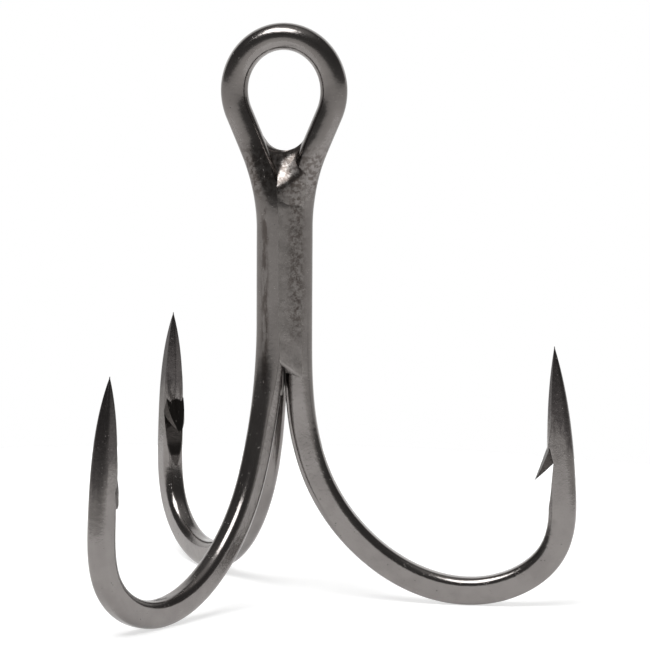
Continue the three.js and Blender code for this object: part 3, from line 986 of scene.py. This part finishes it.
def throat_legs(height):
    """How far the eye's legs stand from the middle at a height, and how they lean."""
    wire = settings().wire
    slope, throat = wire.eye_leg_slope, wire.throat_radius
    half = wire.shank_spacing / 2
    throat_top = eye_leg(wire)[1]
    throat_bottom = throat_top - throat * math.sin(slope)
    lean = np.arcsin(np.clip((height - throat_bottom) / throat, 0, math.sin(slope)))
    out = half + throat * (1 - np.cos(lean)) + np.clip(height - throat_top, 0, None) * math.tan(slope)
    return out, lean


def saddle(name, seed):
    """The braze that fills the throat of the eye and covers the single shank's end."""
    wire = settings().wire
    half = wire.shank_spacing / 2
    bottom = wire.saddle_bottom - SADDLE_FOOT
    u = np.linspace(-1, 1, 71)[None, :]
    p = np.linspace(0, 1, 96)[:, None]
    side = np.where(u < 0, -1.0, 1.0)

    def crest(x):
        inside = np.minimum(np.abs(x), 0.93 * NOTCH_RADIUS)
        return NOTCH_BOTTOM + NOTCH_RADIUS - np.sqrt(NOTCH_RADIUS**2 - inside**2)

    dive_width = 0.14 * MM
    x = u * half + 0 * p
    for _ in range(6):
        z = bottom + (crest(x) - bottom) * p
        out, lean = throat_legs(z)
        radius = wire.wire_diameter / 2 / np.cos(lean)
        drop = soft_slope(z - SLOPE_LEAN * x, SLOPE_BOTTOM, SLOPE_TOP, SLOPE_SOFT)
        sunk = 0.05 * MM * np.clip((wire.saddle_bottom - z) / SADDLE_FOOT, 0, 1)
        middle = SADDLE_DEPTH - sunk - (SADDLE_DEPTH - SADDLE_CREST_DEPTH) * drop
        groove = GROOVE_SWAY * np.tanh(GROOVE_LEAN * (z - GROOVE_MIDDLE) / GROOVE_SWAY)
        groove = groove * smooth_step((z - bottom) / (1.5 * MM))
        gap = out - side * groove
        sweep_radius = (gap**2 + middle**2 - radius**2) / (2 * (radius - middle))
        touch = gap * sweep_radius / (sweep_radius + radius)
        x = groove + u * (touch + dive_width)
    off = np.abs(x - groove)
    sweep_radius = sweep_radius * SADDLE_FLATNESS
    front_depth = middle + sweep_radius - np.sqrt(sweep_radius**2 - np.minimum(off, touch) ** 2)
    front_depth = front_depth - BRAZE_DIVE * np.clip((off - touch) / dive_width, 0, 1)
    lip = np.sqrt(1 - (1 - np.clip((1 - p) / 0.07, 0, 1)) ** 2)
    waves = SADDLE_LUMPS * np.clip(p * 5, 0, 1) * np.clip(1 - p**8, 0, 1)
    y_front = -(front_depth + waves * lump(x, z, seed)) * lip - SADDLE_CREST_DEPTH * (1 - lip)
    rear_x = x + (u * SADDLE_REAR_HALF_WIDTH - x) * (1 - p**2)
    rear_z = bottom + (crest(rear_x) - bottom) * p
    over = np.clip(1 - (rear_x / half) ** 2, 0, 1)
    spread = np.clip(1.1 - (rear_x / SADDLE_REAR_HALF_WIDTH) ** 4, 0.3, 1.0)
    rear_depth = (bundle_centre(wire) + bundle_radius(wire)) * spread + SADDLE_REAR_CROWN * np.sqrt(over)
    y_rear = rear_depth * np.clip(1 - p**1.7, 0, 1) ** 0.75 - SADDLE_CREST_DEPTH * p
    y_rear = y_rear + waves * lump(rear_x, rear_z, seed + 1)
    front = np.stack([x, y_front, z], -1)
    rear = np.stack([rear_x, y_rear, rear_z], -1)
    return closed_slab(name, twist_points(front), twist_points(rear))


# ---- Operators ----


class TREBLE_OT_double_wire(bpy.types.Operator):
    """Bend the wire that makes the eye and the two front hooks"""

    bl_idname = "treble.double_wire"
    bl_label = "Double Hook Wire"

    def execute(self, context):
        eye = eye_stations()
        throat = eye.centre[0][2]
        left_hook = hook_stations(HOOKS["left"])
        left_hook.across = -left_hook.across
        left = shank_stations(HOOKS["left"], -1, throat).joined(left_hook)
        right = shank_stations(HOOKS["right"], 1, throat).joined(hook_stations(HOOKS["right"]))
        run = left.backwards().joined(eye).joined(right)
        piece = build_wire("double_wire", run, [HOOKS["right"], HOOKS["left"]])
        finish_piece(piece, material("black_nickel", nickel_material), "hook_wire", "double_hook_wire")
        return {"FINISHED"}


class TREBLE_OT_single_wire(bpy.types.Operator):
    """Bend the wire that makes the back hook"""

    bl_idname = "treble.single_wire"
    bl_label = "Single Hook Wire"

    def execute(self, context):
        wire = settings().wire
        hook = HOOKS["back"]
        out_axis, across = hook_axes(hook)
        foot = hook_origin(hook, wire) + out_axis * bundle_radius(wire)
        top = wire.single_shank_top
        dome = SHANK_END_DOME
        turn = np.linspace(0.12, 1, 9) * math.pi / 2
        dome_heights = top - dome * (1 - np.cos(turn))
        shank_heights = np.linspace(top - dome, foot[2], 60)[1:]
        heights = np.concatenate([dome_heights, shank_heights])
        widths = np.ones(len(heights))
        widths[: len(turn)] = 1 - (dome / (wire.wire_diameter / 2)) * (1 - np.sin(turn))
        centre = np.stack([0 * heights, 0 * heights + foot[1], heights], 1)
        outward = np.broadcast_to(out_axis, centre.shape)
        diameter = wire.wire_diameter * widths
        run = Stations(centre, outward, across, diameter, diameter, diameter / 2)
        piece = build_wire("single_wire", run.joined(hook_stations(hook)), [hook])
        finish_piece(piece, material("black_nickel", nickel_material), "hook_wire", "single_hook_wire")
        return {"FINISHED"}


class TREBLE_OT_braze_runs(bpy.types.Operator):
    """Run the braze down the three valleys and the middle channel between the shanks"""

    bl_idname = "treble.braze_runs"
    bl_label = "Braze Runs"

    def execute(self, context):
        finish = material("plated_braze", braze_material)
        top = settings().wire.saddle_bottom
        runs = [
            ("front_fillet", "braze_front_fillet", 10.0, 0, -20.3, -22.0, 0.018, 3),
            ("right_fillet", "braze_right_fillet", 1.7, 120, -22.7, -22.3, 0.025, 5),
            ("left_fillet", "braze_left_fillet", 1.7, 240, -22.2, -22.8, 0.025, 7),
        ]
        for name, node, radius, turn, left, right, lumps, seed in runs:
            piece = fillet_run(name, radius * MM, turn, top, left * MM, right * MM, lumps * MM, seed)
            finish_piece(piece, finish, "braze", node)
        finish_piece(self.core(top), finish, "braze", "braze_core")
        return {"FINISHED"}

    def core(self, top):
        """The filler between the three wires: a slim three-cornered rod with a drop at its foot."""
        wire = settings().wire
        centre = bundle_centre(wire)
        radius = wire.wire_diameter / 2
        around, rows = 36, 60
        turn = np.linspace(0, 2 * math.pi, around, endpoint=False)
        off = (turn - math.pi / 2 + math.pi / 3) % (2 * math.pi / 3) - math.pi / 3
        reach = bundle_radius(wire)
        inside = np.clip(radius**2 - (reach * np.sin(off)) ** 2, 0, None)
        spread = np.minimum(reach * np.cos(off) - np.sqrt(inside), CORE_HALF_WIDTH)
        share = np.linspace(0, 1, rows)
        z = top - 0.02 * MM + (CORE_BOTTOM - top) * share
        size = np.sqrt(np.clip(1 - ((share - CORE_DROP) / 0.035) ** 2, 0.02, 1))
        size = np.where(share < CORE_DROP, 1.0, size)
        rings = np.stack([
            size[:, None] * spread * np.cos(turn),
            centre + size[:, None] * spread * np.sin(turn),
            np.broadcast_to(z[:, None], (rows, around)),
        ], -1)
        piece = mesh_object("core_run", rings, tube_faces(rows, around))
        tidy_solid(piece)
        shade(piece, BRAZE_CREASE)
        return piece


class TREBLE_OT_braze_saddle(bpy.types.Operator):
    """Fill the throat of the eye with its saddle of braze"""

    bl_idname = "treble.braze_saddle"
    bl_label = "Braze Saddle"

    def execute(self, context):
        piece = saddle("throat_saddle", 11)
        finish_piece(piece, material("plated_braze", braze_material), "braze", "braze_throat_saddle")
        return {"FINISHED"}


class TREBLE_OT_studio(bpy.types.Operator):
    """Set the floor, the surroundings that light the hook, and the camera"""

    bl_idname = "treble.studio"
    bl_label = "Studio"

    def execute(self, context):
        self.floor()
        self.surroundings(context.scene)
        self.camera(context.scene)
        context.scene.view_settings.view_transform = "Standard"
        return {"FINISHED"}

    def floor(self):
        """A plane under the lowest point of each bend."""
        feet = []
        for hook in HOOKS.values():
            run = hook_stations(hook)
            under = run.centre - run.outward * (run.height / 2)[:, None]
            feet.append(Vector(under[under[:, 2].argmin()]))
        normal = (feet[1] - feet[0]).cross(feet[2] - feet[0]).normalized()
        normal = -normal if normal.z < 0 else normal
        middle = sum(feet, Vector()) / 3
        around = 96
        turn = normal.rotation_difference(Vector((0, 0, 1))).inverted()
        turns = [2 * math.pi * k / around for k in range(around)]
        rim = [FLOOR_RADIUS * Vector((math.cos(t), math.sin(t), 0)) for t in turns]
        vertices = [middle] + [middle + turn @ edge for edge in rim]
        faces = [(0, 1 + k, 1 + (k + 1) % around) for k in range(around)]
        piece = mesh_object("studio_floor", [tuple(v) for v in vertices], faces)
        piece.data.materials.append(material("studio_floor", floor_material))

    def surroundings(self, scene):
        """A bright table that fades with distance, a dark room, a softbox and a white board behind."""
        world = bpy.data.worlds.new("studio")
        world.use_nodes = True
        scene.world = world
        n = Nodes(world, world.node_tree.nodes["Background"])
        direction = n.add("ShaderNodeTexCoord").outputs["Generated"]
        height_seen = n.parts(direction)["Z"]
        table = n.add("ShaderNodeValToRGB", Fac=n.ramp(height_seen, -1.0, 1.0, linear=True))
        stops = table.color_ramp.elements
        for height, light in TABLE_AND_ROOM:
            place = (height + 1.0) / 2.0
            ends = {0.0: stops[0], 1.0: stops[len(stops) - 1]}
            stop = ends.get(place) or stops.new(place)
            stop.color = (light, 0.985 * light, 0.97 * light, 1.0)

        def facing(towards):
            product = n.add("ShaderNodeVectorMath", operation="DOT_PRODUCT")
            n.give(product.inputs[0], direction)
            n.give(product.inputs[1], Vector(towards).normalized())
            return product.outputs["Value"]

        board = n.ramp(facing(BOARD_TOWARDS), 0.5, 0.72, 0.0, BOARD_LIGHT)
        board = n.times(board, n.ramp(height_seen, 0.6, 0.8, 1.0, 0.0))
        board = n.times(board, n.ramp(height_seen, -0.06, 0.04))
        towards = Vector(SOFTBOX_TOWARDS).normalized()
        sideways = towards.cross(Vector((0.0, 0.0, 1.0))).normalized()
        ahead = n.math("MAXIMUM", facing(towards), 0.001)
        box = n.ramp(facing(towards), 0.0, 0.3, 0.0, SOFTBOX_LIGHT)
        sides = ((sideways, SOFTBOX_HALF_WIDTH), (sideways.cross(towards), SOFTBOX_HALF_HEIGHT))
        for axis, half in sides:
            off = n.math("ABSOLUTE", n.math("DIVIDE", facing(axis), ahead))
            edge = n.ramp(off, half - SOFTBOX_SOFT_EDGE, half + SOFTBOX_SOFT_EDGE, 1.0, 0.0)
            box = n.times(box, edge)
        lit = n.add("ShaderNodeMix", data_type="RGBA", blend_type="ADD", Factor=1.0)
        n.give(lit.inputs[6], table.outputs["Color"])
        n.give(lit.inputs[7], n.plus(board, box))
        path = n.add("ShaderNodeLightPath")
        seen = n.mix_colour(path.outputs["Is Camera Ray"], lit.outputs[2], (1.0, 1.0, 1.0))
        n.feed(n.shader, Color=seen, Strength=1.0)

    def camera(self, scene):
        azimuth, elevation = math.radians(CAMERA_AZIMUTH), math.radians(CAMERA_ELEVATION)
        aim = Vector(CAMERA_AIM) * MM
        back = Vector((
            math.sin(azimuth) * math.cos(elevation),
            -math.cos(azimuth) * math.cos(elevation),
            math.sin(elevation),
        ))
        right = Vector((math.cos(azimuth), math.sin(azimuth), 0))
        up = back.cross(right)
        level = Matrix((right, up, back)).transposed()
        camera = bpy.data.cameras.new("camera")
        camera.sensor_width = 36.0
        camera.lens = CAMERA_LENS
        camera.clip_start = 0.01
        piece = bpy.data.objects.new("camera", camera)
        spin = Matrix.Rotation(math.radians(CAMERA_ROLL), 3, "Z")
        place = Matrix.Translation(aim + back * CAMERA_DISTANCE)
        piece.matrix_world = place @ (level @ spin).to_4x4()
        scene.collection.objects.link(piece)
        scene.camera = piece


class VIEW3D_PT_treble_hook(bpy.types.Panel):
    """Builds the hook and its studio, one piece or group at a time"""

    bl_label = "Treble Hook"
    bl_space_type = "VIEW_3D"
    bl_region_type = "UI"
    bl_category = "Treble Hook"

    def draw(self, context):
        layout = self.layout
        for operator in OPERATORS:
            layout.operator(operator.bl_idname)
        for group in ("wire", "bend", "barb", "finish"):
            values = getattr(context.scene.treble_hook, group)
            box = layout.box()
            box.label(text=group.capitalize())
            for key in values.__annotations__:
                box.prop(values, key)


OPERATORS = (
    TREBLE_OT_double_wire,
    TREBLE_OT_single_wire,
    TREBLE_OT_braze_runs,
    TREBLE_OT_braze_saddle,
    TREBLE_OT_studio,
)
CLASSES = (
    TrebleWireSizes,
    TrebleBendSizes,
    TrebleBarbSizes,
    TrebleFinish,
    TrebleHookSettings,
    *OPERATORS,
    VIEW3D_PT_treble_hook,
)


def register():
    for item in CLASSES:
        bpy.utils.register_class(item)
    bpy.types.Scene.treble_hook = PointerProperty(type=TrebleHookSettings)


def unregister():
    del bpy.types.Scene.treble_hook
    for item in reversed(CLASSES):
        bpy.utils.unregister_class(item)


def main():
    register()
    bpy.ops.treble.double_wire()
    bpy.ops.treble.single_wire()
    bpy.ops.treble.braze_runs()
    bpy.ops.treble.braze_saddle()
    bpy.ops.treble.studio()


if __name__ == "__main__":
    main()
